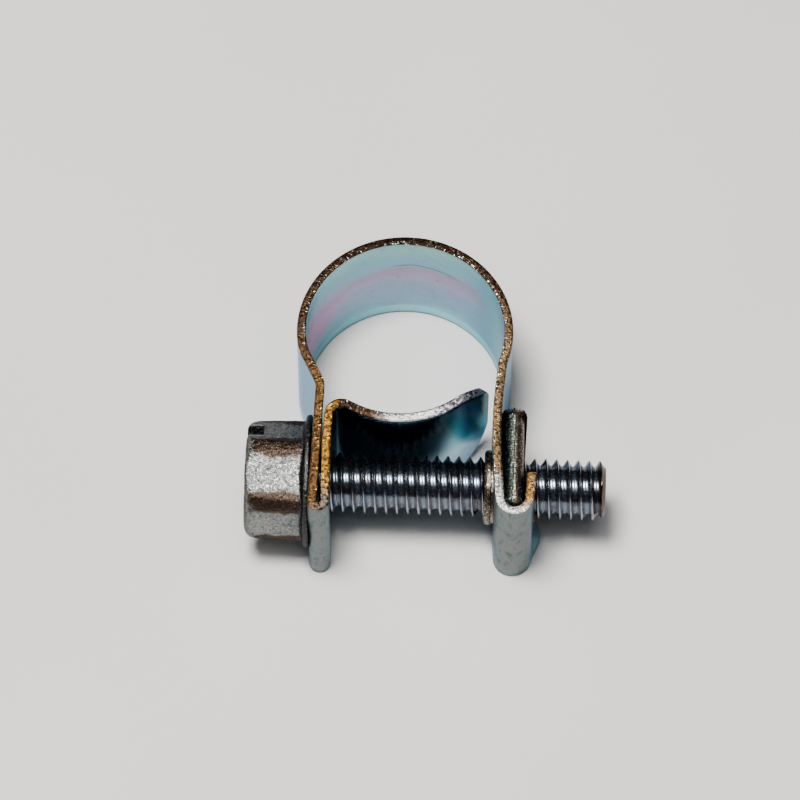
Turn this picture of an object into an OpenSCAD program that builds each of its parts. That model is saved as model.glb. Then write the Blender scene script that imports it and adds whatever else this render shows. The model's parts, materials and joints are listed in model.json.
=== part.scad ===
// Small bolt-type hose clamp: one folded strip, a slotted flange hex screw and a captive plate nut.
// Origin on the hose's axis at the strip's lower edge, +Z along the hose, +X along the screw from its
// head to its tip, ears towards -Y.

/* [Strip] */
// Radius of the hose that the loop goes round
hose_r = 6.42; // [6:0.02:7.5]
// Thickness of the strip
strip_t = 0.6; // [0.5:0.02:0.7]
// Width of the strip
strip_w = 9; // [8.8:0.1:12]
// Centre of the strip in the head-side ear, left of the hose's axis
head_ear_x = 5.4; // [5.2:0.05:5.6]
// Centre of the strip in the nut-side ear, right of the hose's axis
nut_ear_x = 6.2; // [6:0.05:6.4]
// Reach of the head-side ear in front of the hose's axis
head_ear_reach = 13.3; // [13:0.1:14.5]
// Reach of the nut-side ear in front of the hose's axis
nut_ear_reach = 13.1; // [13:0.1:14.5]
// Bend radius of the head-side shoulder, at the strip's centre
head_shoulder_r = 1.5; // [1.2:0.1:2]
// Bend radius of the nut-side shoulder, at the strip's centre
nut_shoulder_r = 4; // [2:0.5:5]

/* [Folds] */
// Gap inside the closed fold of the head-side ear
hem_gap = 0.08; // [0.06:0.02:0.2]
// Gap inside the open fold of the nut-side ear, which holds the nut
pocket_gap = 1.68; // [1.6:0.02:1.8]
// End of the return leg, in front of the screw's axis
return_end = 1.1; // [1:0.1:1.6]

/* [Tongue] */
// How far the tongue springs inside the hose's circle
tongue_spring = 0.08; // [0.02:0.02:0.1]
// Bend radius where the tongue leaves the ear, at the strip's centre
crown_r = 0.7; // [0.6:0.05:0.9]
// Direction of the tongue's end, clockwise from the screw's axis
tongue_end = 36; // [35:1:45]
// Length of the taper at the tongue's end, along the screw
taper_l = 1.5; // [1:0.1:2]
// Height that the taper takes off each edge
taper_h = 2; // [1:0.1:2.5]

/* [Screw] */
// Distance of the screw's axis in front of the hose's axis
screw_y = 8.92; // [8.9:0.02:9.2]
// Outer diameter of the thread
thread_d = 3.9; // [3.8:0.02:3.96]
// Pitch of the thread
pitch = 0.7; // [0.7:0.05:0.8]
// Length of the screw under its flange
screw_l = 19; // [18:0.5:22]
// Width across the flats of the hex
hex_af = 7; // [6.5:0.5:7]
// Height of the hex above the flange
hex_h = 3.6; // [3:0.1:4.5]
// Diameter of the flange
flange_d = 8.6; // [8.2:0.1:8.8]
// Thickness of the flange at its rim
flange_t = 0.45; // [0.3:0.05:0.6]
// Width of the driver slot
slot_w = 1.2; // [0.8:0.1:1.4]
// Depth of the driver slot
slot_deep = 1.1; // [0.6:0.1:1.5]

/* [Nut] */
// Thickness of the plate nut
nut_t = 1.42; // [1.3:0.02:1.5]
// Length of the plate nut, along the ear
nut_l = 7.1; // [6.6:0.1:7.1]
// How far the plate's middle sits behind the screw's axis
nut_back = 0.2; // [0:0.05:0.3]
// Height of the plate nut, along the strip's width
nut_h = 8.5; // [7.5:0.1:8.6]
// Bevel along the plate's long edges
nut_bevel = 0.42; // [0.2:0.02:0.5]
// Outer diameter of the nut's collar
collar_d = 4.8; // [4.6:0.1:5]
// How far the collar stands out of the ear
collar_proud = 0.45; // [0.2:0.05:0.6]

/* [Hidden] */
$fn = 96;

// gaps between pieces
seat_gap = 0.05;
bore_gap = 0.08;
ear_hole_gap = 0.3;
collar_gap = 0.03;
cut = 1;
tip_gap = 0.05;

// strip, at its centre line: the loop is bent a little small, and the hose's bore is then cut true
// through it
bore_stock = 0.02;
loop_r = hose_r - bore_stock + strip_t / 2;
tongue_r = hose_r - tongue_spring + strip_t / 2;
head_turn = acos((head_ear_x + head_shoulder_r) / (loop_r + head_shoulder_r));
nut_turn = acos((nut_ear_x + nut_shoulder_r) / (loop_r + nut_shoulder_r));
head_leg_y = (loop_r + head_shoulder_r) * sin(head_turn);
nut_leg_y = (loop_r + nut_shoulder_r) * sin(nut_turn);
hem_r = (hem_gap + strip_t) / 2;
pocket_r = (pocket_gap + strip_t) / 2;
hem_y = head_ear_reach - strip_t / 2 - hem_r;
pocket_y = nut_ear_reach - strip_t / 2 - pocket_r;

// tongue, which leaves the inner layer of the head-side ear over a crown and follows the hose
crown_x = head_ear_x - 2 * hem_r - crown_r;
crown_y = sqrt(pow(tongue_r + crown_r, 2) - pow(crown_x, 2));
crown_dir = 180 + atan(crown_y / crown_x);
tongue_sweep = 360 - tongue_end - crown_dir;
tongue_tip_x = (tongue_r + strip_t / 2) * cos(tongue_end);

// the strip's route, from the tongue's end to the return leg's end: a straight step is
// [length, 0], and a bend is [radius, turn], with left turns positive
ROUTE_START = [tongue_r * cos(tongue_end), -tongue_r * sin(tongue_end), -tongue_end - 90];
ROUTE = [
    [tongue_r, -tongue_sweep],
    [crown_r, 450 - crown_dir - 90],
    [hem_y - crown_y, 0],
    [hem_r, -180],
    [hem_y - head_leg_y, 0],
    [head_shoulder_r, head_turn],
    [loop_r, -(180 + head_turn + nut_turn)],
    [nut_shoulder_r, nut_turn],
    [pocket_y - nut_leg_y, 0],
    [pocket_r, 180],
    [pocket_y - screw_y - return_end, 0]];
facet_arc = 0.35;
facet_turn = 15;

// screw, measured along X
mid_z = strip_w / 2;
seat_x = -head_ear_x - strip_t / 2 - seat_gap;
thread_r = thread_d / 2;
thread_deep = 0.61 * pitch;
root_r = thread_r - thread_deep;
crest = pitch / 8;
turns = floor((screw_l - pitch) / pitch);
hex_r = hex_af / 2 / cos(30);
flange_cone = 0.2;
head_h = flange_t + flange_cone + hex_h;
slot_turn = -30;

// nut, measured along X
ear_face_x = nut_ear_x + strip_t / 2;
nut_x = ear_face_x + seat_gap;
nut_z = (strip_w - nut_h) / 2;
nut_round = 0.5;
bore_r = thread_r + bore_gap;
collar_r = collar_d / 2;
collar_l = strip_t + seat_gap + collar_proud;
collar_draft = 0.15;

STRIP = [0.62, 0.66, 0.68];
BOLT = [0.68, 0.70, 0.72];
PLATE = [0.36, 0.35, 0.33];

// ---- strip: a route of steps, given half its thickness on each side ----

function facets(step) = max(ceil(abs(step[1]) / facet_turn),
                            ceil(abs(step[1]) * PI / 180 * step[0] / facet_arc));

// places along one step, each [x, y, heading], from the place it starts at
function step_places(from, step) =
    step[1] == 0
    ? [[from.x + step[0] * cos(from.z), from.y + step[0] * sin(from.z), from.z]]
    : let (n = facets(step), r = step[0] * sign(step[1]))
      [for (i = [1:n])
          let (heading = from.z + step[1] * i / n)
          [from.x + r * (sin(heading) - sin(from.z)),
           from.y - r * (cos(heading) - cos(from.z)), heading]];

function route_places(from, steps, i = 0) =
    i == len(steps) ? [from]
    : let (places = step_places(from, steps[i]))
      concat([from], [for (k = [0:1:len(places) - 2]) places[k]],
             route_places(places[len(places) - 1], steps, i + 1));

function beside(place, d) = [place.x - d * sin(place.z), place.y + d * cos(place.z)];

module strip_outline() {
    places = route_places(ROUTE_START, ROUTE);
    last = len(places) - 1;
    polygon(concat([for (p = places) beside(p, strip_t / 2)],
                   [for (i = [0:last]) beside(places[last - i], -strip_t / 2)]));
}

// a cylinder along X, centred on the screw's axis
module along_screw(x, length, radius) {
    translate([x, -screw_y, mid_z]) rotate([0, 90, 0]) cylinder(r = radius, h = length);
}

// ---- band ----

// the hose's bore through the loop, which stops short of the tongue
module hose_bore() {
    intersection() {
        translate([0, 0, -cut]) cylinder(r = hose_r, h = strip_w + 2 * cut);
        translate([-hose_r - cut, -loop_r * sin(head_turn), -2 * cut])
            cube([2 * (hose_r + cut), 2 * (hose_r + cut), strip_w + 4 * cut]);
    }
}

// what the taper takes off the tongue's lower corner
module tongue_corner() {
    translate([0, -tongue_r * sin(tongue_end) + cut, 0])
        rotate([90, 0, 0]) linear_extrude(height = tongue_r)
            polygon([[tongue_tip_x - taper_l, -cut], [tongue_tip_x - taper_l, 0],
                     [tongue_tip_x, taper_h], [tongue_tip_x + tip_gap, taper_h],
                     [tongue_tip_x + tip_gap, -cut]]);
}

module band() {
    color(STRIP) difference() {
        linear_extrude(height = strip_w) strip_outline();
        hose_bore();
        tongue_corner();
        translate([0, 0, strip_w]) mirror([0, 0, 1]) tongue_corner();
        along_screw(-head_ear_x - cut, strip_t + 2 * hem_r + 2 * cut, thread_r + ear_hole_gap);
        along_screw(nut_ear_x - cut / 2, cut, collar_r + collar_gap);
        along_screw(nut_ear_x + pocket_r, pocket_r + cut, thread_r + ear_hole_gap);
    }
}

// ---- screw: built standing on its head's end, then laid along X ----

// half outline of the shank, with a ring of 60 degree thread at every pitch
function thread_ring(z) = [[root_r, z], [thread_r, z + (pitch - crest) / 2],
                           [thread_r, z + (pitch + crest) / 2]];

module shank() {
    rotate_extrude() polygon(concat(
        [[0, 0], [root_r, 0]],
        [for (i = [0:turns - 1]) each thread_ring(pitch / 2 + i * pitch)],
        [[root_r, pitch / 2 + turns * pitch], [root_r, screw_l], [0, screw_l]]));
}

module head() {
    intersection() {
        union() {
            cylinder(r = flange_d / 2, h = flange_t);
            translate([0, 0, flange_t])
                cylinder(r1 = flange_d / 2, r2 = hex_r, h = flange_cone);
            translate([0, 0, flange_t]) cylinder(r = hex_r, h = hex_h + flange_cone, $fn = 6);
        }
        cylinder(r1 = flange_d / 2 + head_h, r2 = hex_af / 2 + crest, h = head_h + crest);
    }
}

module screw() {
    color(BOLT) translate([seat_x, -screw_y, mid_z]) rotate([0, 90, 0]) {
        shank();
        difference() {
            mirror([0, 0, 1]) head();
            rotate([0, 0, slot_turn]) translate([-flange_d, -slot_w / 2, -head_h - cut])
                cube([2 * flange_d, slot_w, slot_deep + cut]);
        }
    }
}

// ---- nut ----

module plate_plan() {
    for (x = [nut_round, nut_t - nut_round], y = [nut_round, nut_l - nut_round])
        translate([x, y]) circle(r = nut_round);
    translate([nut_round, 0]) square([nut_t - 2 * nut_round, nut_l]);
    translate([0, nut_round]) square([nut_t, nut_l - 2 * nut_round]);
}

module plate_section() {
    polygon([[0, nut_bevel], [nut_bevel, 0], [nut_t - nut_bevel, 0], [nut_t, nut_bevel],
             [nut_t, nut_h - nut_bevel], [nut_t - nut_bevel, nut_h], [nut_bevel, nut_h],
             [0, nut_h - nut_bevel]]);
}

module nut() {
    color(PLATE) difference() {
        union() {
            translate([nut_x, nut_back - screw_y - nut_l / 2, nut_z]) intersection() {
                linear_extrude(height = nut_h) plate_plan();
                translate([0, nut_l, 0]) rotate([90, 0, 0])
                    linear_extrude(height = nut_l) plate_section();
            }
            translate([nut_x - collar_l, -screw_y, mid_z]) rotate([0, 90, 0])
                cylinder(r1 = collar_r - collar_draft, r2 = collar_r, h = collar_proud);
            along_screw(nut_x - strip_t - seat_gap, strip_t + 2 * seat_gap, collar_r);
        }
        along_screw(nut_x - collar_l - cut, collar_l + nut_t + 2 * cut, bore_r);
    }
}

band();
screw();
nut();
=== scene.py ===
import json
import math

import bmesh
import bpy
import numpy as np
from mathutils import Matrix, Vector, noise
from mathutils.kdtree import KDTree


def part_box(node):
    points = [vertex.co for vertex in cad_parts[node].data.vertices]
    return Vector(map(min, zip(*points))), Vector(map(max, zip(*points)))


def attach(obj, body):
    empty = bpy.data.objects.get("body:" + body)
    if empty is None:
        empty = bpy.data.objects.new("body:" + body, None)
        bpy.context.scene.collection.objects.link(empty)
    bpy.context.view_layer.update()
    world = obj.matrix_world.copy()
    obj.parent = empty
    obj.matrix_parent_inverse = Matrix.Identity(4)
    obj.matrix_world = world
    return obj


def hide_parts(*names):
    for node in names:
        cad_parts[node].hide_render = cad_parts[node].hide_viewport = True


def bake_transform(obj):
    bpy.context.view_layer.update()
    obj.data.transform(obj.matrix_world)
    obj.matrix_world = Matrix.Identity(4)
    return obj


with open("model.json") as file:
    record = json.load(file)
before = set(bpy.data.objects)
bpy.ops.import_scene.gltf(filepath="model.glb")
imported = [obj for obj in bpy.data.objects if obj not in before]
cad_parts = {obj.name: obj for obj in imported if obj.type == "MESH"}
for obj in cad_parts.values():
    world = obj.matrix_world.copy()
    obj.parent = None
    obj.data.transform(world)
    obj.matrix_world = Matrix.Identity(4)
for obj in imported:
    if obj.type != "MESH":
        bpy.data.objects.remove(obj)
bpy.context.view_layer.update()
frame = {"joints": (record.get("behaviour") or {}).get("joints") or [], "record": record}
MM = 0.001


def mount(name):
    return next(m for m in frame["record"]["mounts"] if m["name"] == name)


def joint(name):
    return next(j for j in frame["joints"] if j["name"] == name)


# ---- driving sizes, in millimetres, from the frame ----
HOSE_R = mount("hose_bore")["dims"]["r_mm"]
WIDTH = mount("hose_bore")["dims"]["length_mm"]
SCREW_Y, SCREW_Z = (v / MM for v in joint("screw_turn")["pos_m"][1:])
SCREW_LOW, SCREW_HIGH = (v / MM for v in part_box("screw"))
NUT_LOW, NUT_HIGH = (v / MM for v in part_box("nut"))

# strip: radii (_R) and lengths (_L) in millimetres, turns and headings in degrees
STRIP_T = 0.58
EDGE_ROLL = 0.13
STATION = 0.12      # longest step between two rows of points along the strip
ROWS = 26           # faces across the strip
# head side, from the top of the loop: flank, shoulder, ear, hem, the ear's inner layer, and tongue
FLANK_AT = 99.5
FLANK_R, FLANK_TURN, FLANK_L = 3.07, 17.0, 1.93
SHOULDER_R, EAR_HEADING = 1.57, 268.8
EAR_L = 8.12
HEM_R, HEM_TURN = 0.416, 182.4
LAYER_L1, LAYER_R, LAYER_TURN, LAYER_L2 = 3.57, 20.6, -2.8, 1.71
CROWN_R, CROWN_TURN = 0.82, -117.9
TONGUE_R, TONGUE_TURN = 6.34, 92.0
TIP_TAPER, TIP_DROP, TIP_ROUND = 2.5, 2.0, 0.55
# nut side, from the top of the loop: shoulder, leaning ear, pocket round the nut, and return leg
NUT_FLANK_AT = 105.3
NUT_SHOULDER_R, NUT_EAR_HEADING, NUT_EAR_L1 = 3.96, -94.6, 1.4
LEAN_R, LEAN_HEADING, NUT_EAR_L2 = 34.0, -85.2, 2.45
POCKET_R, POCKET_TURN, RETURN_L = 0.94, 172.0, 2.0
PRONG_SPLAY, PRONG_L, PRONG_GAP = 0.5, 3.3, 0.8
EAR_HOLE_R, COLLAR_HOLE_R = 2.25, 2.43
HOLES = ((-6.4, -3.9, EAR_HOLE_R), (5.6, 7.0, COLLAR_HOLE_R), (7.9, 9.4, EAR_HOLE_R))   # from x, to x, radius
EDGE_WAVES = ((1.7, 0.018), (6.0, 0.012))   # waves per millimetre, and height, of the sheared edge

# screw
PITCH = 0.7
THREAD_R = 1.95
THREAD_DEEP = 0.43
THREAD_SIDES, THREAD_STEPS = 80, 14     # points round the screw, and along one pitch
RUN_OUT_AT, RUN_OUT_L = 0.5, 0.8        # where the thread fades towards the head
TIP_SLOPE = 1.7
SEAT_X = -5.75
FLANGE_R = 4.3
FLANGE_T = 0.42
HEX_AF = 7.0
HEAD_END = SCREW_LOW.x + 0.08
HEX_TURN = 82.0
CORNER_R = 3.82     # the hex's corners are turned down to this radius
DISH_R, DISH_DEEP = 2.5, 0.16
SLOT_W, SLOT_DEEP, SLOT_TURN = 1.4, 1.1, -38.0

# nut
NUT_T, NUT_BEVEL, NUT_CORNER, NUT_LEAN = 1.3, 0.56, 0.5, 1.1
NUT_MIDDLE = NUT_HIGH.x - 0.69      # the plate's middle plane
BORE_R = THREAD_R + 0.06
COLLAR_R = 2.38
COLLAR_PROUD = 0.45


# ---- mesh helpers ----
def add_object(name, data):
    obj = bpy.data.objects.new(name, data)
    bpy.context.scene.collection.objects.link(obj)
    return obj


def from_bmesh(name, bm):
    mesh = bpy.data.meshes.new(name)
    bm.to_mesh(mesh)
    bm.free()
    return add_object(name, mesh)


def settle(obj):
    """Applies the modifiers of obj."""
    graph = bpy.context.evaluated_depsgraph_get()
    mesh = bpy.data.meshes.new_from_object(obj.evaluated_get(graph))
    obj.modifiers.clear()
    old, obj.data = obj.data, mesh
    bpy.data.meshes.remove(old)


def cut(obj, cutter, operation="DIFFERENCE", solver="MANIFOLD"):
    """Boolean of obj with cutter, which is used up. MANIFOLD is quick, but leaves slivers on a flat strip."""
    mod = obj.modifiers.new("cut", "BOOLEAN")
    mod.operation, mod.solver, mod.object = operation, solver, cutter
    settle(obj)
    bpy.data.objects.remove(cutter)


def revolve(outline, sides, at=(0, 0, 0)):
    """Closed mesh from an outline of (x, radius) points, turned about X. Radius 0 at both ends."""
    bm = bmesh.new()
    rings = []
    for x, r in outline:
        if r == 0:
            rings.append([bm.verts.new((x, 0, 0))])
        else:
            rings.append([bm.verts.new((x, r * math.cos(a), r * math.sin(a)))
                          for a in np.linspace(0, 2 * math.pi, sides, endpoint=False)])
    for a, b in zip(rings, rings[1:]):
        for i in range(sides):
            j = (i + 1) % sides
            corners = [a[i % len(a)], a[j % len(a)], b[j % len(b)], b[i % len(b)]]
            unique = list(dict.fromkeys(corners))
            if len(unique) > 2:
                bm.faces.new(unique)
    bmesh.ops.recalc_face_normals(bm, faces=bm.faces)
    bmesh.ops.translate(bm, verts=bm.verts, vec=at)
    return bm


def rod(x0, x1, radius, sides):
    """Rod on the screw's axis."""
    return revolve([(x0, 0), (x0, radius), (x1, radius), (x1, 0)], sides, (0, SCREW_Y, SCREW_Z))


def turn_about(bm, degrees, axis):
    turn = Matrix.Rotation(math.radians(degrees), 3, axis)
    bmesh.ops.rotate(bm, cent=(0, 0, 0), verts=bm.verts, matrix=turn)


def block(size):
    bm = bmesh.new()
    bmesh.ops.create_cube(bm, size=1)
    bmesh.ops.scale(bm, vec=size, verts=bm.verts)
    return bm


def add_shell(obj, bm):
    """Adds the closed shell in bm to obj's mesh as it is, without a Boolean."""
    shell = bpy.data.meshes.new("shell")
    bm.to_mesh(shell)
    bm.free()
    both = bmesh.new()
    both.from_mesh(obj.data)
    both.from_mesh(shell)
    both.to_mesh(obj.data)
    both.free()
    bpy.data.meshes.remove(shell)


def remesh(obj, voxel, smooth):
    """Rebuilds obj with every edge a little rounded, as on a forged part."""
    mod = obj.modifiers.new("remesh", "REMESH")
    mod.mode, mod.voxel_size = "VOXEL", voxel
    soft = obj.modifiers.new("soft", "SMOOTH")
    soft.factor, soft.iterations = 0.5, smooth
    settle(obj)


def ripple(obj, size, depth, seed):
    """Moves each vertex along its normal by up to depth, in lumps of the given size."""
    shift = Vector((seed, seed * 0.7, -seed))
    mesh = obj.data
    spots, normals = (np.zeros(3 * len(mesh.vertices), np.float32) for _ in range(2))
    mesh.vertices.foreach_get("co", spots)
    mesh.vertex_normals.foreach_get("vector", normals)
    spots, normals = spots.reshape(-1, 3), normals.reshape(-1, 3)
    lumps = np.array([noise.noise(Vector(p) / size + shift) for p in spots], np.float32)
    mesh.vertices.foreach_set("co", (spots + normals * lumps[:, None] * depth).ravel())
    mesh.update()


def dress(obj, *materials):
    """Gives obj these materials only, the first on every face. A Boolean can leave an empty slot behind."""
    obj.data.materials.clear()
    for material in materials:
        obj.data.materials.append(material)


def finish_mesh(obj, sharp):
    """Smooth shading, with edges over `sharp` degrees left sharp, and millimetres to metres."""
    mesh = obj.data
    mesh.shade_smooth()
    mesh.set_sharp_from_angle(angle=math.radians(sharp))
    mesh.transform(Matrix.Scale(MM, 4))
    mesh.update()


# ---- strip ----
def walk(place, steps):
    """Stations (x, y, heading) along steps: (length, 0) is straight, (radius, turn) a bend."""
    x, y, h = place
    out = [(x, y, h)]
    for size, turn in steps:
        turn = math.radians(turn)
        length = size if turn == 0 else abs(size * turn)
        n = max(2, math.ceil(length / STATION))
        for _ in range(n):
            if turn == 0:
                x, y = x + size / n * math.cos(h), y + size / n * math.sin(h)
            else:
                r, g = math.copysign(size, turn), h + turn / n
                x, y, h = x + r * (math.sin(g) - math.sin(h)), y - r * (math.cos(g) - math.cos(h)), g
            out.append((x, y, h))
    return out


def strip_route():
    """The strip's centre line from the tongue's tip to the return leg's end, and the run to each station."""
    r = HOSE_R + STRIP_T / 2
    heading = 180 + FLANK_AT + FLANK_TURN
    left = walk((0, r, math.pi), [
        (r, FLANK_AT), (FLANK_R, FLANK_TURN), (FLANK_L, 0), (SHOULDER_R, EAR_HEADING - heading),
        (EAR_L, 0), (HEM_R, HEM_TURN), (LAYER_L1, 0), (LAYER_R, LAYER_TURN), (LAYER_L2, 0),
        (CROWN_R, CROWN_TURN), (TONGUE_R, TONGUE_TURN)])
    right = walk((0, r, 0), [
        (r, -NUT_FLANK_AT), (NUT_SHOULDER_R, NUT_EAR_HEADING + NUT_FLANK_AT), (NUT_EAR_L1, 0),
        (LEAN_R, LEAN_HEADING - NUT_EAR_HEADING), (NUT_EAR_L2, 0), (POCKET_R, POCKET_TURN), (RETURN_L, 0)])
    back = [(x, y, h + math.pi) for x, y, h in reversed(left)]
    route = np.array(back[:-1] + right)
    run = np.concatenate([[0], np.cumsum(np.linalg.norm(np.diff(route[:, :2], axis=0), axis=1))])
    return route, run


def half_width(run):
    """Half the strip's width at each station: the tongue's tip tapers, and both ends have round corners."""
    half = WIDTH / 2 - TIP_DROP * np.clip(1 - (run - 0.1) / TIP_TAPER, 0, 1) ** 1.6
    for d, round_r in ((run, TIP_ROUND), (run[-1] - run, TIP_ROUND * 0.7)):
        k = np.clip(round_r - d, 0, round_r)
        half = half - (round_r - np.sqrt(np.maximum(round_r ** 2 - k ** 2, 0)))
    return half


def edge_section():
    """The sheared edge from one face to the other, as (offset, inset): rolled over on one side."""
    t = STRIP_T / 2
    return [(t, EDGE_ROLL * 0.5), (t * 0.94, 0.025), (t * 0.75, 0), (t * 0.3, 0), (-t * 0.2, 0.004),
            (-t * 0.62, 0.022), (-t * 0.88, 0.06), (-t, EDGE_ROLL)]


def edge_wave(run, side):
    """How far the sheared edge on this side stands out at this run: a slow wave and a fine one."""
    (slow, slow_h), (fine, fine_h) = EDGE_WAVES
    return slow_h * noise.noise((run * slow, side, 0)) + fine_h * noise.noise((run * fine, side, 3))


def section(run, half, edge):
    """The strip's closed section as (offset, height): one face, an edge, the other face, the other edge."""
    def face(offset, inset):
        return [(offset, inset - half + 2 * (half - inset) * k / ROWS) for k in range(1, ROWS)]
    upper, lower = edge_wave(run, 5), edge_wave(run, 9)
    ring = face(STRIP_T / 2, edge[0][1]) + [(d, half - i + upper) for d, i in edge]
    return ring + face(-STRIP_T / 2, edge[-1][1])[::-1] + [(d, i - half + lower) for d, i in reversed(edge)]


def strip_mesh(route, run):
    edge = edge_section()
    bm = bmesh.new()
    rings = []
    for (x, y, h), s, half in zip(route, run, half_width(run)):
        rings.append([bm.verts.new((x + math.sin(h) * d, y - math.cos(h) * d, WIDTH / 2 + z))
                      for d, z in section(s, half, edge)])
    count = len(rings[0])
    # the faces of the two sheared edges, which get the second material
    rim = set(range(ROWS - 1, ROWS + len(edge) - 2)) | set(range(count - len(edge), count - 1))
    for a, b in zip(rings, rings[1:]):
        for i in range(count):
            j = (i + 1) % count
            face = bm.faces.new((a[i], b[i], b[j], a[j]))
            face.material_index = 1 if i in rim else 0
    for ring in (rings[0], list(reversed(rings[-1]))):
        bm.faces.new(ring).material_index = 1
    bmesh.ops.recalc_face_normals(bm, faces=bm.faces)
    return from_bmesh("strip", bm)


def splay_prong(obj):
    """Bends the lower prong of the return leg outwards."""
    fold, top = SCREW_Y - PRONG_L, SCREW_Z - PRONG_GAP
    for v in obj.data.vertices:
        if v.co.x > NUT_HIGH.x and v.co.y > fold:
            low = max(0.0, (top - v.co.z) / top)
            up = min(1.0, (v.co.y - fold) / 2.0)
            v.co.x += PRONG_SPLAY * low ** 1.3 * up * up * (3 - 2 * up)
    obj.data.update()


def flat_pattern(obj, route, run):
    """Stores each point's place on the unbent strip, in millimetres: along, up, and off its centre line."""
    tree = KDTree(len(route))
    for i, (x, y, h) in enumerate(route):
        tree.insert((x, y, 0), i)
    tree.balance()
    out = np.zeros((len(obj.data.vertices), 3), np.float32)
    for v in obj.data.vertices:
        _, i, _ = tree.find((v.co.x, v.co.y, 0))
        x, y, h = route[i]
        d = Vector((v.co.x - x, v.co.y - y))
        along = d.x * math.cos(h) + d.y * math.sin(h)
        out[v.index] = (run[i] + along, v.co.z, d.x * math.sin(h) - d.y * math.cos(h))
    obj.data.attributes.new("flat", "FLOAT_VECTOR", "POINT").data.foreach_set("vector", out.ravel())


def make_strip():
    route, run = strip_route()
    obj = strip_mesh(route, run)
    for material in (zinc_face(), sheared_edge()):
        obj.data.materials.append(material)
    for x0, x1, r in HOLES:
        cutter = from_bmesh("cutter", rod(x0, x1, r, 72))
        dress(cutter, *obj.data.materials)
        for p in cutter.data.polygons:
            p.material_index = 1
        cut(obj, cutter, solver="EXACT")
    flat_pattern(obj, route, run)
    splay_prong(obj)
    finish_mesh(obj, 50)
    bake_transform(obj)
    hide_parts("band")


# ---- screw ----
def thread_height(u):
    """Height of the rolled thread at u of a pitch: round in the root at 0, narrow on the crest at 0.5."""
    return min(1.0, (1 - abs(2 * u - 1)) / 0.9) ** 1.45


def thread_radius(u, at):
    """Radius at u of a pitch and at this x: plain under the head, threaded, and chamfered at the tip."""
    r = THREAD_R - THREAD_DEEP * (1 - thread_height(u))
    start = min(1.0, max(0.0, (at - SEAT_X - RUN_OUT_AT) / RUN_OUT_L))
    r = r * start + (THREAD_R - 0.55 * THREAD_DEEP) * (1 - start)
    return min(r, THREAD_R - THREAD_DEEP - 0.02 + TIP_SLOPE * (SCREW_HIGH.x - at))


def helix():
    """The open thread. A row of points climbs one pitch in a turn, so its end meets the row a pitch on."""
    turns = math.ceil((SCREW_HIGH.x - SEAT_X) / PITCH) + 2
    bm = bmesh.new()
    rows = []
    for k in range(turns * THREAD_STEPS + 1):
        row = []
        for i in range(THREAD_SIDES):
            x = SEAT_X - PITCH + (k / THREAD_STEPS + i / THREAD_SIDES) * PITCH
            at = min(max(x, SEAT_X), SCREW_HIGH.x)
            r = thread_radius(k % THREAD_STEPS / THREAD_STEPS, at)
            a = 2 * math.pi * i / THREAD_SIDES
            row.append(bm.verts.new((at, r * math.cos(a), r * math.sin(a))))
        rows.append(row)
    for k, (a, b) in enumerate(zip(rows, rows[1:])):
        for i in range(THREAD_SIDES - 1):
            bm.faces.new((a[i], a[i + 1], b[i + 1], b[i]))
        if k + THREAD_STEPS + 1 < len(rows):
            bm.faces.new((a[-1], rows[k + THREAD_STEPS][0], rows[k + THREAD_STEPS + 1][0], b[-1]))
    bmesh.ops.remove_doubles(bm, verts=bm.verts, dist=0.0008)
    bmesh.ops.dissolve_degenerate(bm, edges=bm.edges, dist=0.0005)
    bmesh.ops.delete(bm, geom=[v for v in bm.verts if not v.link_faces], context="VERTS")
    return bm


def close_end(bm, x, rings):
    """Fills the open end at x after one ring of faces for each (shrink, step along X) in rings."""
    rim = [e for e in bm.edges if e.is_boundary and all(abs(v.co.x - x) < 1e-3 for v in e.verts)]
    for shrink, step in rings:
        made = bmesh.ops.extrude_edge_only(bm, edges=rim)["geom"]
        for v in (g for g in made if isinstance(g, bmesh.types.BMVert)):
            v.co = (v.co.x + step, v.co.y * shrink, v.co.z * shrink)
        rim = [g for g in made if isinstance(g, bmesh.types.BMEdge) and g.is_boundary]
    bmesh.ops.edgeloop_fill(bm, edges=rim)


def make_shank():
    bm = helix()
    close_end(bm, SCREW_HIGH.x, ((0.9, -0.02), (0.55, -0.1), (0.25, -0.05)))
    close_end(bm, SEAT_X, ((1.0, -0.3),))
    bmesh.ops.recalc_face_normals(bm, faces=bm.faces)
    bmesh.ops.translate(bm, vec=(0, SCREW_Y, SCREW_Z), verts=bm.verts)
    obj = from_bmesh("screw_shank", bm)
    dress(obj, thread_steel())
    finish_mesh(obj, 60)
    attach(obj, "bolt")


def hexagon():
    """The hex, turned as it lies, with its corners rounded off and a shallow dish and a slot in its end."""
    end, half = HEAD_END, HEX_AF / 2
    hex_r = half / math.cos(math.radians(30))
    bm = revolve([(end, 0), (end, hex_r), (SEAT_X - 0.2, hex_r), (SEAT_X - 0.2, 0)], 6)
    turn_about(bm, HEX_TURN, "X")
    obj = from_bmesh("screw_head", bm)
    crown = revolve([(end, 0), (end, half - 0.2), (end + 0.1, half), (end + 0.3, half + 0.18),
                     (end + 0.7, CORNER_R - 0.04), (end + 1.5, CORNER_R),
                     (SEAT_X - FLANGE_T, CORNER_R + 0.06), (SEAT_X, CORNER_R), (SEAT_X, 0)], 144)
    cut(obj, from_bmesh("crown", crown), "INTERSECT")
    dish = revolve([(end - 1, 0), (end - 1, DISH_R), (end + 0.01, DISH_R - 0.05), (end + 0.12, DISH_R - 0.4),
                    (end + DISH_DEEP, 0)], 96)
    cut(obj, from_bmesh("dish", dish))
    slot = block((2 * SLOT_DEEP, SLOT_W, 3 * HEX_AF))
    turn_about(slot, SLOT_TURN, "X")
    bmesh.ops.translate(slot, vec=(end, 0, 0), verts=slot.verts)
    cut(obj, from_bmesh("slot", slot))
    return obj


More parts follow.
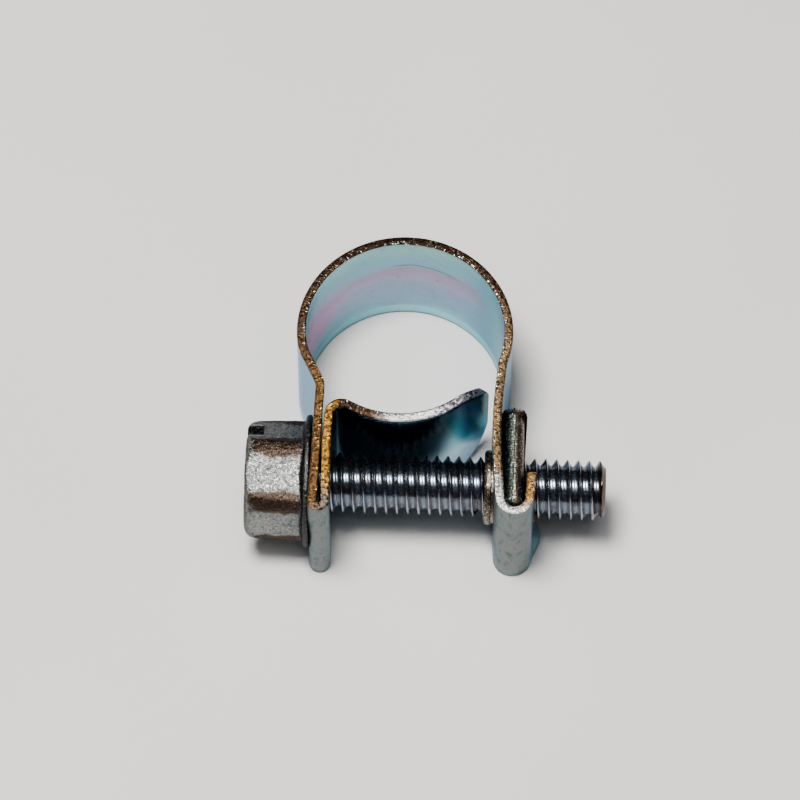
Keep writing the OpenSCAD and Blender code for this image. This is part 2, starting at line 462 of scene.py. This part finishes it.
def flange():
    """The flange, with the swept foot that carries the hex's flats into it."""
    back, half = SEAT_X - FLANGE_T, HEX_AF / 2
    return revolve([(back - 0.36, 0), (back - 0.36, half - 0.06), (back - 0.2, half + 0.02),
                    (back - 0.08, half + 0.2), (back, FLANGE_R - 0.3), (back + 0.06, FLANGE_R - 0.06),
                    (back + 0.18, FLANGE_R), (SEAT_X - 0.08, FLANGE_R), (SEAT_X, FLANGE_R - 0.08),
                    (SEAT_X, 0)], 144)


def make_head():
    obj = hexagon()
    add_shell(obj, flange())
    remesh(obj, 0.065, 3)
    ripple(obj, 1.1, 0.035, 2)
    ripple(obj, 0.35, 0.012, 5)
    obj.data.transform(Matrix.Translation((0, SCREW_Y, SCREW_Z)))
    dress(obj, hex_steel())
    finish_mesh(obj, 70)
    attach(obj, "bolt")
    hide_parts("screw")


# ---- nut ----
def collar():
    """The nut's collar, staked out over the ear, a little ragged."""
    x0, x1 = NUT_LOW.x, NUT_LOW.x + 1.3
    x_lip = x0 + COLLAR_PROUD
    inner, outer = THREAD_R + 0.07, COLLAR_R
    outline = [(x1, inner), (x0 + 0.1, inner), (x0, inner + 0.1), (x0 - 0.02, outer - 0.12),
               (x0 + 0.08, outer), (x0 + 0.25, outer + 0.03), (x_lip - 0.06, outer + 0.02),
               (x_lip, outer - 0.05), (x1, outer - 0.05), (x1, inner)]
    bm = revolve(outline, 96)
    for v in bm.verts:
        front = max(0.0, 1 - (v.co.x - x0) / COLLAR_PROUD)
        out = Vector((0, v.co.y, v.co.z)).normalized() * noise.noise(v.co * 1.3)
        along = Vector((1, 0, 0)) * noise.noise(v.co * 2.1)
        v.co += (out * 0.07 - along * 0.05) * front
    bmesh.ops.remove_doubles(bm, verts=bm.verts, dist=1e-5)
    bmesh.ops.translate(bm, vec=(0, SCREW_Y, SCREW_Z), verts=bm.verts)
    return bm


def plate():
    """The nut's plate, with round ends and bevelled rims, leaning a little in its pocket."""
    length, height = NUT_HIGH.y - NUT_LOW.y, NUT_HIGH.z - NUT_LOW.z
    bm = block((NUT_T, length, height))
    ends = [e for e in bm.edges if abs(e.verts[0].co.z - e.verts[1].co.z) > 1]
    bmesh.ops.bevel(bm, geom=ends, offset=NUT_CORNER, segments=5, profile=0.5, affect="EDGES")
    rims = [e for e in bm.edges if all(abs(abs(v.co.z) - height / 2) < 1e-4 for v in e.verts)]
    bmesh.ops.bevel(bm, geom=rims, offset=NUT_BEVEL, segments=3, profile=0.42, affect="EDGES")
    turn_about(bm, NUT_LEAN, "Z")
    bmesh.ops.translate(bm, vec=(NUT_MIDDLE, (NUT_LOW.y + NUT_HIGH.y) / 2, WIDTH / 2), verts=bm.verts)
    return bm


def make_nut():
    obj = from_bmesh("nut_plate", plate())
    cut(obj, from_bmesh("bore", rod(NUT_LOW.x - 1, NUT_HIGH.x + 1, BORE_R, 80)))
    add_shell(obj, collar())
    dress(obj, nut_steel())
    finish_mesh(obj, 40)
    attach(obj, "captive_nut")
    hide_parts("nut")


# ---- materials ----
class Nodes:
    """A short way to build one material's nodes."""

    def __init__(self, name):
        self.material = bpy.data.materials.new(name)
        self.material.use_nodes = True
        self.tree = self.material.node_tree
        self.shader = self.tree.nodes["Principled BSDF"]

    def link(self, value, socket):
        if isinstance(value, bpy.types.NodeSocket):
            self.tree.links.new(value, socket)
        else:
            socket.default_value = value

    def node(self, kind, **settings):
        made = self.tree.nodes.new("ShaderNode" + kind)
        for k, v in settings.items():
            setattr(made, k, v)
        return made

    def place(self):
        """Place on the object, in metres."""
        return self.node("TexCoord").outputs["Object"]

    def place_mm(self):
        return self.scaled(self.place(), (1 / MM,) * 3)

    def flat(self):
        """Place on the unbent strip, in millimetres, from flat_pattern."""
        return self.node("Attribute", attribute_name="flat", attribute_type="GEOMETRY").outputs["Vector"]

    def scaled(self, vector, scale):
        made = self.node("Mapping")
        self.link(vector, made.inputs["Vector"])
        made.inputs["Scale"].default_value = scale
        return made.outputs["Vector"]

    def noise(self, vector, scale, detail=3.0, rough=0.55, warp=0.0):
        made = self.node("TexNoise")
        self.link(vector, made.inputs["Vector"])
        made.inputs["Scale"].default_value = scale
        made.inputs["Detail"].default_value = detail
        made.inputs["Roughness"].default_value = rough
        made.inputs["Distortion"].default_value = warp
        return made.outputs["Fac"]

    def ramp(self, value, stops):
        """Colour ramp with a stop at each (position, colour)."""
        made = self.node("ValToRGB")
        self.link(value, made.inputs["Fac"])
        bar = made.color_ramp.elements
        while len(bar) < len(stops):
            bar.new(0.5)
        for e, (at, colour) in zip(bar, stops):
            e.position, e.color = at, (*colour, 1)
        return made.outputs["Color"]

    def step(self, value, low, high, to_low=0.0, to_high=1.0):
        made = self.node("MapRange", clamp=True, interpolation_type="SMOOTHSTEP")
        sockets = "Value", "From Min", "From Max", "To Min", "To Max"
        for k, v in zip(sockets, (value, low, high, to_low, to_high)):
            self.link(v, made.inputs[k])
        return made.outputs["Result"]

    def fade(self, value, low, high, most=1.0):
        """Falls from most to 0 as the value goes from low to high."""
        return self.step(value, low, high, most, 0.0)

    def window(self, value, rise, fall, most=1.0):
        """Up to most between the rise and the fall, each a (from, to) pair, and 0 outside them."""
        return self.math("MULTIPLY", self.step(value, *rise), self.fade(value, *fall, most))

    def math(self, kind, a, b=0.0):
        made = self.node("Math", operation=kind)
        self.link(a, made.inputs[0])
        self.link(b, made.inputs[1])
        return made.outputs[0]

    def distance(self, value, middle):
        return self.math("ABSOLUTE", self.math("SUBTRACT", value, middle))

    def mix(self, fac, a, b):
        made = self.node("Mix", data_type="RGBA")
        self.link(fac, made.inputs[0])
        for value, socket in ((a, made.inputs[6]), (b, made.inputs[7])):
            self.link((*value, 1) if isinstance(value, tuple) else value, socket)
        return made.outputs[2]

    def tint(self, colour, mask, share, tone):
        """Mixes this share of the tone into the colour where the mask is 1."""
        return self.mix(self.math("MULTIPLY", mask, share), colour, tone)

    def split(self, vector):
        made = self.node("SeparateXYZ")
        self.link(vector, made.inputs[0])
        return made.outputs

    def off_axis(self, y, z):
        """Distance from the screw's axis, in millimetres."""
        squares = [self.math("POWER", self.math("SUBTRACT", v, at), 2.0)
                   for v, at in ((y, SCREW_Y), (z, SCREW_Z))]
        return self.math("SQRT", self.math("ADD", *squares))

    def bump(self, height, depth, under=None):
        """Bumps up to depth millimetres high, on top of the bumps under them."""
        made = self.node("Bump")
        made.inputs["Strength"].default_value = 1.0
        made.inputs["Distance"].default_value = depth * MM
        self.link(height, made.inputs["Height"])
        if under is not None:
            self.link(under, made.inputs["Normal"])
        return made.outputs["Normal"]

    def finish(self, colour, rough, normal=None, metal=1.0, grazing=(1.0, 1.0, 1.0)):
        """Links up the shader. Grazing is the metal's tint at its edges."""
        self.link(colour, self.shader.inputs["Base Color"])
        self.link(rough, self.shader.inputs["Roughness"])
        if normal is not None:
            self.link(normal, self.shader.inputs["Normal"])
        self.shader.inputs["Metallic"].default_value = metal
        self.shader.inputs["Specular Tint"].default_value = (*grazing, 1)
        return self.material


# Where each tint, painted shade and painted highlight rises and falls, in millimetres along the unbent strip
# from the tongue's tip
LOOP_LEFT = (31.5, 33.0), (33.5, 39.5)
# the dark blue band on the loop's right is painted shade
LOOP_PAINTED_SHADE = (46.5, 50.5), (54.0, 56.5)
LOOP_VIOLET = (51.8, 52.8), (53.2, 54.6)
LOOP_GREEN = (47.5, 51.0), (51.0, 53.0)
HEAD_FOLD, NUT_FOLD = ((17.2, 18.2), (19.6, 20.6)), ((64.0, 65.4), (67.4, 68.4))
# painted highlights: the edge bright and smooth on the tongue and at the pocket's fold
TONGUE_EDGE_HIGHLIGHT, NUT_FOLD_HIGHLIGHT = ((4.0, 5.5), (8.0, 9.5)), ((65.0, 65.8), (67.6, 68.2))
HEAD_LEG_GOLD, NUT_LEG_GOLD = ((11.0, 12.5), (27.0, 33.0)), ((55.0, 60.0), (62.0, 65.0))
SCRATCH_AT, SCRATCH_CROWN = (44.2, 6.3), 43.2
ZONES_L = 71.0
# The same, in millimetres up the strip
PINK_LEFT = (1.2, 3.4), (5.0, 8.2)
PINK_BACK = (4.2, 5.2), (5.6, 6.6)
PALE_RIM = (0.0, 0.25), (0.8, 1.15)
DARK_LINE = (0.02, 0.08), (0.12, 0.22)


def loop_tints(n, colour, along, height, drift, inside):
    """The film's tints round the loop: pink, violet and green, and teal to violet outside, with a band of
    painted shade in dark blue.
    """
    left = n.math("MULTIPLY", n.window(along, *LOOP_LEFT), n.window(height, *PINK_LEFT))
    colour = n.tint(colour, left, 0.85, (0.56, 0.16, 0.32))
    colour = n.mix(n.window(height, *PINK_BACK, 0.45), colour, (0.40, 0.22, 0.31))
    # painted shade: a dark blue band round the loop's right
    colour = n.mix(n.window(along, *LOOP_PAINTED_SHADE, 0.7), colour, (0.10, 0.22, 0.31))
    colour = n.tint(colour, n.window(along, *LOOP_VIOLET), 0.7, (0.34, 0.22, 0.62))
    colour = n.tint(colour, n.window(along, *LOOP_GREEN, 0.8), 0.6, (0.13, 0.36, 0.36))
    outside = n.math("SUBTRACT", 1.0, inside)
    return n.tint(colour, outside, 0.8, n.mix(drift, (0.11, 0.34, 0.42), (0.26, 0.27, 0.46)))


def tongue_tints_and_reflections(n, colour, along, across, tongue):
    """The tongue: green and teal at its tip, dark towards its root, and paler low down; partly film colour
    and partly painted reflection and shade: the dark tones stand in for the screw and its shadow reflected in
    the tongue, the dark band between the green and the teal for shade where the tip bends, and the pale low
    part for a reflection.
    """
    tone = n.ramp(n.math("DIVIDE", along, 12.0), [
        (0.02, (0.50, 0.68, 0.42)), (0.10, (0.28, 0.50, 0.44)), (0.17, (0.10, 0.19, 0.26)),
        (0.24, (0.20, 0.42, 0.44)), (0.33, (0.36, 0.54, 0.62)), (0.44, (0.10, 0.17, 0.20)),
        (0.75, (0.07, 0.095, 0.125)), (1.0, (0.08, 0.16, 0.17))])
    low = n.math("MULTIPLY", n.fade(across, 2.6, 4.4, 0.8), n.fade(along, 4.2, 6.2))
    return n.tint(colour, tongue, 0.92, n.mix(low, tone, (0.56, 0.68, 0.80)))


def zinc_face():
    """Blue-passivated zinc: teal, with a pink band at mid height, a pale lower rim and matt grey folds."""
    n = Nodes("zinc_face")
    flat = n.flat()
    along, across, off = n.split(flat)
    drift = n.noise(n.scaled(flat, (0.16, 0.35, 1.0)), 1.0, warp=0.4)
    height = n.math("ADD", across, n.math("MULTIPLY", n.math("SUBTRACT", drift, 0.5), 5.0))
    colour = n.ramp(n.math("DIVIDE", height, WIDTH), [
        (0.03, (0.27, 0.51, 0.54)), (0.16, (0.25, 0.39, 0.47)), (0.34, (0.28, 0.34, 0.44)),
        (0.52, (0.36, 0.34, 0.45)), (0.66, (0.27, 0.37, 0.45)), (0.86, (0.24, 0.41, 0.47)),
        (1.0, (0.30, 0.47, 0.45))])
    inside = n.step(off, -0.05, 0.05)
    colour = loop_tints(n, colour, along, height, drift, inside)
    colour = n.tint(colour, n.window(across, *PALE_RIM), 0.6, (0.36, 0.66, 0.74))
    colour = n.mix(n.window(across, *DARK_LINE, 0.5), colour, (0.08, 0.10, 0.10))
    tongue = n.fade(along, 11.5, 13.0)
    # the tongue's tones are partly film colour and partly painted reflection and shade
    colour = tongue_tints_and_reflections(n, colour, along, across, tongue)
    fold = n.math("ADD", n.window(along, *HEAD_FOLD), n.window(along, *NUT_FOLD))
    matt = n.noise(n.scaled(flat, (2.4, 0.7, 1.0)), 1.0, 5.0, 0.7)
    grey = n.ramp(matt, [(0.34, (0.13, 0.135, 0.13)), (0.45, (0.24, 0.255, 0.235)),
                         (0.54, (0.28, 0.265, 0.24)), (0.64, (0.18, 0.20, 0.195))])
    colour = n.tint(colour, fold, 0.9, grey)
    stain = n.noise(n.scaled(flat, (1.4, 2.0, 1.0)), 1.0, 5.0, 0.65)
    colour = n.mix(n.step(stain, 0.56, 0.74, 0.0, 0.35), colour, (0.12, 0.15, 0.17))
    slope = n.math("ADD", across, n.math("MULTIPLY", n.distance(along, SCRATCH_CROWN), 0.09))
    scratch = n.math("MULTIPLY", n.fade(n.distance(slope, SCRATCH_AT[1]), 0.03, 0.09, 0.6),
                     n.fade(n.distance(along, SCRATCH_AT[0]), 1.6, 3.2))
    colour = n.mix(n.math("MULTIPLY", scratch, inside), colour, (0.07, 0.09, 0.10))
    rolling = n.noise(n.scaled(flat, (0.8, 26.0, 1.0)), 1.0, 3.0, 0.7)
    grain = n.noise(n.scaled(flat, (9.0, 9.0, 1.0)), 1.0, 3.0, 0.6)
    rough = n.math("ADD", n.step(grain, 0.3, 0.75, 0.17, 0.30), n.math("MULTIPLY", fold, 0.28))
    rough = n.math("SUBTRACT", rough, n.math("MULTIPLY", tongue, 0.11))
    return n.finish(colour, rough, n.bump(grain, 0.004, n.bump(rolling, 0.003)), grazing=(0.66, 0.80, 0.87))


def sheared_edge():
    """Sheared edge: torn bronze grain with bright flecks, golden on the legs, with painted highlights on the
    tongue's edge and the pocket's fold, and a painted dark reflection on the tongue tip's end.
    """
    n = Nodes("sheared_edge")
    flat = n.flat()
    along, _, off = n.split(flat)
    run = n.math("ADD", along, n.math("MULTIPLY", n.noise(flat, 1.2, 2.0, 0.6), 1.6))
    dark, bronze, gold = (0.045, 0.027, 0.018), (0.14, 0.082, 0.05), (0.62, 0.34, 0.08)
    bright, silver, grey = (0.92, 0.90, 0.88), (0.58, 0.54, 0.62), (0.26, 0.23, 0.22)
    brown, pale, orange = (0.24, 0.13, 0.055), (0.34, 0.23, 0.125), (0.50, 0.27, 0.09)
    # the bright stops on the tongue and at the pocket's fold are painted highlights
    zones = [(1.9, silver), (4.4, silver), (5.4, bright), (8.0, bright), (9.2, bronze), (11.4, dark),
             (12.6, gold), (17.6, gold), (18.9, grey), (20.4, brown), (29.5, brown), (33.0, bronze),
             (43.5, dark), (50.0, bronze), (55.5, pale), (64.0, pale), (65.8, bright), (67.8, bright),
             (68.8, orange)]
    colour = n.ramp(n.math("DIVIDE", run, ZONES_L), [(at / ZONES_L, tone) for at, tone in zones])
    torn = n.noise(n.scaled(flat, (7.0, 7.0, 2.4)), 1.0, 3.0, 0.7)
    pits = n.noise(flat, 4.6, 3.0, 0.65)
    # painted highlights on the tongue's edge and the pocket's fold, with fewer pits there
    highlit = n.math("ADD", n.window(along, *TONGUE_EDGE_HIGHLIGHT), n.window(along, *NUT_FOLD_HIGHLIGHT))
    unhighlit = n.math("SUBTRACT", 1.0, n.math("MULTIPLY", highlit, 0.8))
    pitted = n.math("MULTIPLY", n.step(pits, 0.52, 0.40, 0.0, 0.85), unhighlit)
    colour = n.mix(pitted, colour, (0.03, 0.018, 0.012))
    # painted reflection: the tongue tip's cut end dark teal, as it reflects the dark surroundings
    colour = n.mix(n.fade(along, 0.1, 0.28, 0.9), colour, (0.015, 0.06, 0.07))
    fleck = n.math("MULTIPLY", n.step(torn, 0.54, 0.62), n.step(off, 0.02, 0.2, 0.12, 0.95))
    golden = n.math("ADD", n.window(along, *HEAD_LEG_GOLD), n.window(along, *NUT_LEG_GOLD, 0.5))
    colour = n.mix(fleck, colour, n.mix(golden, (0.96, 0.93, 0.88), (0.95, 0.70, 0.34)))
    rough = n.step(torn, 0.4, 0.65, 0.46, 0.22)
    return n.finish(colour, rough, n.bump(torn, 0.08, n.bump(pits, 0.12)))


def thread_steel():
    """Rolled zinc-plated thread: light roots and crests with darker blue flanks, the flanks a painted dark
    reflection, brown smudges, and brown at the tip.
    """
    n = Nodes("thread_steel")
    place = n.place_mm()
    x, y, z = n.split(place)
    fine = n.noise(place, 5.0, 3.0, 0.6)
    smudge = n.noise(place, 1.1, 3.0, 0.6)
    deep = n.step(n.off_axis(y, z), THREAD_R - THREAD_DEEP, THREAD_R)
    # painted dark reflection: the flanks darker and bluer than the roots and crests
    colour = n.ramp(deep, [(0.0, (0.52, 0.55, 0.57)), (0.4, (0.21, 0.24, 0.31)), (1.0, (0.42, 0.43, 0.45))])
    colour = n.mix(n.step(smudge, 0.50, 0.70, 0.0, 0.5), colour, (0.16, 0.12, 0.09))
    colour = n.tint(colour, n.step(x, SCREW_HIGH.x - 0.7, SCREW_HIGH.x - 0.25), 0.85, (0.12, 0.085, 0.05))
    rough = n.step(fine, 0.3, 0.7, 0.14, 0.28)
    return n.finish(colour, rough, n.bump(fine, 0.006), grazing=(0.74, 0.76, 0.80))


def slot_shade_and_highlight(n, colour, x, y, z):
    """Painted shade inside the screwdriver slot, and a painted highlight along its lips."""
    wall = math.radians(SLOT_TURN)
    across = n.math("ADD", n.math("MULTIPLY", n.math("SUBTRACT", y, SCREW_Y), math.cos(wall)),
                    n.math("MULTIPLY", n.math("SUBTRACT", z, SCREW_Z), math.sin(wall)))
    off, side, floor = n.math("ABSOLUTE", across), SLOT_W / 2, SCREW_LOW.x + SLOT_DEEP
    inside = n.math("MULTIPLY", n.fade(off, side + 0.02, side + 0.07, 0.92),
                    n.fade(x, floor + 0.04, floor + 0.09))
    # painted shade inside the slot
    colour = n.mix(inside, colour, (0.035, 0.032, 0.03))
    # painted highlight along the slot's lips
    lip = n.window(off, (side + 0.03, side + 0.06), (side + 0.10, side + 0.18), 0.8)
    return n.mix(n.math("MULTIPLY", lip, n.fade(x, floor - 0.1, floor + 0.1)), colour, (0.85, 0.87, 0.90))


def hex_steel():
    """Frosted zinc on a forged head: brown and blue-grey grains, brown corners, and a darker flange."""
    n = Nodes("hex_steel")
    place = n.place_mm()
    x, y, z = n.split(place)
    patch = n.noise(place, 0.6)
    grit = n.noise(place, 6.0, 3.0, 0.7)
    grains = n.noise(place, 5.0, 3.0, 0.7, 0.3)
    colour = n.ramp(patch, [(0.3, (0.26, 0.275, 0.265)), (0.5, (0.32, 0.33, 0.31)),
                            (0.7, (0.39, 0.39, 0.365))])
    colour = n.mix(n.step(grains, 0.56, 0.62, 0.0, 0.4), colour, (0.20, 0.11, 0.06))
    colour = n.mix(n.step(grains, 0.49, 0.42, 0.0, 0.6), colour, (0.06, 0.08, 0.125))
    colour = n.mix(n.step(grit, 0.57, 0.62, 0.0, 0.4), colour, (0.62, 0.64, 0.66))
    wavy_radius = n.math("ADD", n.off_axis(y, z), n.math("MULTIPLY", n.math("SUBTRACT", patch, 0.5), 0.5))
    colour = n.mix(n.step(wavy_radius, 3.63, 3.74, 0.0, 0.9), colour, (0.075, 0.045, 0.028))
    colour = n.mix(n.fade(x, SCREW_LOW.x + 0.1, SCREW_LOW.x + 0.4, 0.6), colour, (0.10, 0.085, 0.07))
    colour = slot_shade_and_highlight(n, colour, x, y, z)
    foot = SEAT_X - FLANGE_T
    colour = n.tint(colour, n.step(x, foot - 0.35, foot - 0.1), 0.85, (0.10, 0.10, 0.105))
    rough = n.step(grit, 0.35, 0.65, 0.30, 0.19)
    return n.finish(colour, rough, n.bump(grit, 0.05, n.bump(grains, 0.085)), grazing=(0.5, 0.52, 0.55))


def nut_steel():
    """Dark greenish zinc on the nut, browner away from the screw's head, with a painted highlight along the
    plate's middle and bright specks on top as painted glints.
    """
    n = Nodes("nut_steel")
    place = n.place_mm()
    x, _, z = n.split(place)
    patch = n.noise(place, 0.8, 3.0, 0.6)
    speck = n.noise(place, 5.5, 3.0, 0.65)
    fine = n.noise(place, 9.0, 3.0, 0.7)
    thickness = n.math("DIVIDE", n.math("SUBTRACT", x, NUT_HIGH.x - NUT_T / 2), NUT_T)
    side = n.math("ADD", thickness, n.math("MULTIPLY", patch, 0.3))
    # the pale stop in the middle is a painted highlight along the plate's crest
    colour = n.ramp(n.math("ADD", side, 0.35), [
        (0.10, (0.06, 0.12, 0.10)), (0.42, (0.10, 0.13, 0.11)), (0.56, (0.34, 0.29, 0.22)),
        (0.78, (0.115, 0.085, 0.062))])
    on_collar = n.step(x, NUT_LOW.x + 1.0, NUT_LOW.x + 0.6)
    colour = n.mix(on_collar, colour, (0.13, 0.10, 0.07))
    on_top = n.step(z, NUT_HIGH.z - 0.7, NUT_HIGH.z - 0.3, 0.12, 0.85)
    # painted glints: bright specks on the top and on the collar
    painted_glints = n.math("MAXIMUM", on_top, n.math("MULTIPLY", on_collar, 0.8))
    colour = n.mix(n.math("MULTIPLY", n.step(fine, 0.54, 0.62), painted_glints), colour, (0.90, 0.85, 0.76))
    rough = n.step(speck, 0.3, 0.7, 0.26, 0.42)
    return n.finish(colour, rough, n.bump(speck, 0.05))


def floor_paint():
    n = Nodes("floor")
    spot = n.noise(n.place(), 30.0, 2.0, 0.5)
    colour = n.ramp(spot, [(0.3, (0.74, 0.725, 0.71)), (0.7, (0.78, 0.77, 0.755))])
    return n.finish(colour, 0.6, metal=0.0)


# ---- stage: angles in degrees, places in millimetres ----
CAM_TURN, CAM_TILT, CAM_ROLL = -1.79, 61.54, 0.34
CAM_AWAY, CAM_AT = 313.1, (-0.221, -2.733, 4.5)
CAM_LENS, CAM_SENSOR = 216.2, 36
LIGHTS_AT = (0, -4, 4)
FLOOR_HALF = 900


def make_camera():
    """Camera at the photograph's viewing angle."""
    el, az, roll = (math.radians(v) for v in (CAM_TILT, CAM_TURN, CAM_ROLL))
    d = Vector((math.sin(az) * math.cos(el), math.cos(az) * math.cos(el), -math.sin(el)))
    right = Vector((math.cos(az), -math.sin(az), 0))
    up = right.cross(d)
    r = right * math.cos(roll) + up * math.sin(roll)
    u = up * math.cos(roll) - right * math.sin(roll)
    cam = add_object("camera", bpy.data.cameras.new("camera"))
    turned = Matrix((r, u, -d)).transposed().to_4x4()
    cam.matrix_world = Matrix.Translation((Vector(CAM_AT) - d * CAM_AWAY) * MM) @ turned
    cam.data.sensor_width, cam.data.lens = CAM_SENSOR, CAM_LENS
    cam.data.clip_start, cam.data.clip_end = 0.01, 5
    bpy.context.scene.camera = cam


def area_light(name, place, side, watts, colour):
    """A square light of this side, aimed at the clamp."""
    data = bpy.data.lights.new(name, "AREA")
    data.shape, data.size = "SQUARE", side * MM
    data.energy, data.color = watts, colour
    obj = add_object(name, data)
    obj.location = Vector(place) * MM
    obj.rotation_mode = "QUATERNION"
    obj.rotation_quaternion = (Vector(LIGHTS_AT) * MM - obj.location).to_track_quat("-Z", "Y")


def make_stage():
    bm = bmesh.new()
    bmesh.ops.create_grid(bm, x_segments=8, y_segments=8, size=FLOOR_HALF * MM)
    floor = from_bmesh("floor", bm)
    dress(floor, floor_paint())
    world = bpy.data.worlds.new("studio")
    bpy.context.scene.world = world
    world.use_nodes = True
    sky = world.node_tree.nodes["Background"]
    sky.inputs["Color"].default_value = (0.74, 0.80, 0.93, 1)
    sky.inputs["Strength"].default_value = 0.07
    area_light("key", (-45, -20, 300), 85, 0.98, (1.0, 0.985, 0.96))
    area_light("panel", (0, -30, 330), 240, 0.38, (1.0, 1.0, 1.0))
    area_light("side", (-330, 60, 210), 90, 0.08, (1.0, 0.97, 0.93))
    bpy.context.scene.view_settings.look = "AgX - Medium High Contrast"


make_camera()
make_stage()
make_strip()
make_shank()
make_head()
make_nut()
